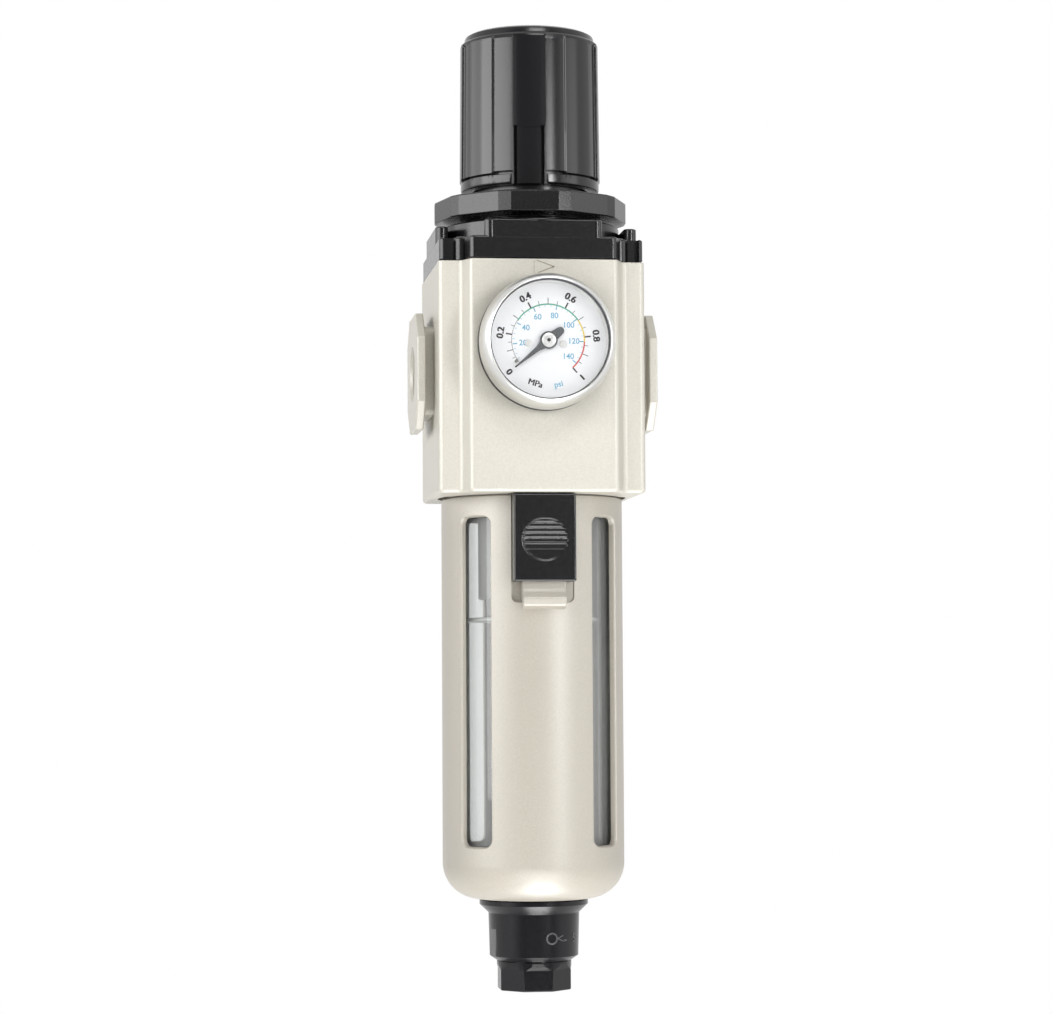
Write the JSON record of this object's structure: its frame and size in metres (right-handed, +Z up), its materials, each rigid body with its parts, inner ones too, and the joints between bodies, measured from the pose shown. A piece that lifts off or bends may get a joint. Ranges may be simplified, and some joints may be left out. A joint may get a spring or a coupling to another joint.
{
  "type": "filter regulator",
  "caption": "Compressed-air filter regulator: knob-set pressure regulator with a round gauge over a guarded clear filter bowl with a latch and a turn drain",
  "frame": {"origin": "on the axis of the pipe line, where the bowl's axis crosses it", "axes": "+X from inlet to outlet, -Y towards the gauge, +Z up the knob"},
  "size_m": [0.06, 0.066, 0.2398],
  "materials": {
    "cast_paint": "die-cast metal under a fine champagne metallic paint, satin",
    "black_plastic": "moulded black engineering plastic, semi-gloss",
    "screw_steel": "zinc-plated steel",
    "spring_steel": "bright drawn spring wire and pressed steel",
    "brass": "turned brass",
    "rubber": "moulded nitrile rubber",
    "grey_plastic": "moulded pale grey plastic",
    "white_plastic": "moulded white plastic",
    "filter_media": "sintered or felted white filter medium",
    "clear_bowl": "clear moulded polycarbonate",
    "gauge_metal": "polished plated metal",
    "gauge_window": "clear flat window",
    "dial_white": "white printed dial",
    "pointer_grey": "dark painted pointer"
  },
  "bodies": {
    "housing": {"body": "cast_paint", "bonnet": "black_plastic", "bonnet_screw_1": "screw_steel", "bonnet_screw_2": "screw_steel", "bonnet_screw_3": "screw_steel", "bonnet_screw_4": "screw_steel", "panel_nut": "black_plastic", "thrust_washer": "brass", "range_spring": "spring_steel", "diaphragm": "rubber", "valve_spring": "spring_steel", "valve_guide": "black_plastic", "deflector": "grey_plastic", "filter_element": "filter_media", "baffle": "white_plastic", "gauge_case": "gauge_metal", "gauge_bezel": "gauge_metal", "gauge_lens": "gauge_window", "gauge_dial": "dial_white", "gauge_stem": "brass", "dial_screw_1": "screw_steel", "dial_screw_2": "screw_steel", "bourdon_tube": "brass", "rear_port_plug": "screw_steel"},
    "spindle": {"adjusting_spindle": "screw_steel"},
    "setting_knob": {"knob": "black_plastic"},
    "seat": {"spring_seat": "brass"},
    "diaphragm_centre": {"diaphragm_plate": "spring_steel", "relief_seat": "brass"},
    "valve": {"poppet": "brass", "poppet_seal": "rubber"},
    "pointer": {"gauge_pointer": "pointer_grey"},
    "bowl_set": {"bowl": "clear_bowl", "bowl_o_ring": "rubber", "bowl_guard": "cast_paint", "latch_spring": "spring_steel", "drain_collar": "black_plastic", "drain_gasket": "rubber", "drain_nut": "black_plastic"},
    "bowl_latch": {"latch": "black_plastic"},
    "drain_tap": {"drain_knob": "black_plastic"},
    "drain_valve": {"drain_stem": "brass"}
  },
  "joints": [
    {"name": "spindle_turn", "type": "hinge", "parent": "housing", "child": "spindle", "pos_m": [0, 0, 0.055], "axis": [0, 0, -1], "range_deg": [0, 1800]},
    {"name": "knob_lift", "type": "slide", "parent": "spindle", "child": "setting_knob", "axis": [0, 0, 1], "range_m": [-0.0018, 0]},
    {"name": "seat_travel", "type": "slide", "parent": "housing", "child": "seat", "axis": [0, 0, -1], "range_m": [0, 0.00751], "deforming": ["range_spring"]},
    {"name": "diaphragm_stroke", "type": "slide", "parent": "housing", "child": "diaphragm_centre", "axis": [0, 0, -1], "range_m": [0, 0.0012], "stiffness_N_per_m": 200, "deforming": ["diaphragm"]},
    {"name": "valve_lift", "type": "slide", "parent": "housing", "child": "valve", "axis": [0, 0, -1], "range_m": [0, 0.00121], "deforming": ["valve_spring"]},
    {"name": "pointer_sweep", "type": "hinge", "parent": "housing", "child": "pointer", "pos_m": [0, -0.034, 0.005], "axis": [0, 1, 0], "range_deg": [0, 270], "stiffness_Nm_per_rad": 0.0001},
    {"name": "bowl_turn", "type": "hinge", "parent": "housing", "child": "bowl_set", "pos_m": [0, 0, -0.03], "axis": [0, 0, -1], "range_deg": [0, 45]},
    {"name": "latch_slide", "type": "slide", "parent": "bowl_set", "child": "bowl_latch", "axis": [0, 0, -1], "range_m": [0, 0.0025], "stiffness_N_per_m": 400, "deforming": ["latch_spring"]},
    {"name": "drain_turn", "type": "hinge", "parent": "bowl_set", "child": "drain_tap", "pos_m": [0, 0, -0.14], "axis": [0, 0, 1], "range_deg": [0, 90]},
    {"name": "drain_lift", "type": "slide", "parent": "bowl_set", "child": "drain_valve", "axis": [0, 0, 1], "range_m": [0, 0.00101]}
  ],
  "couplings": [
    {"joint": "seat_travel", "follows": "spindle_turn", "m_per_rad": 0.00023873},
    {"joint": "valve_lift", "follows": "diaphragm_stroke", "ratio": 1},
    {"joint": "drain_lift", "follows": "drain_turn", "m_per_rad": 0.00063662}
  ]
}
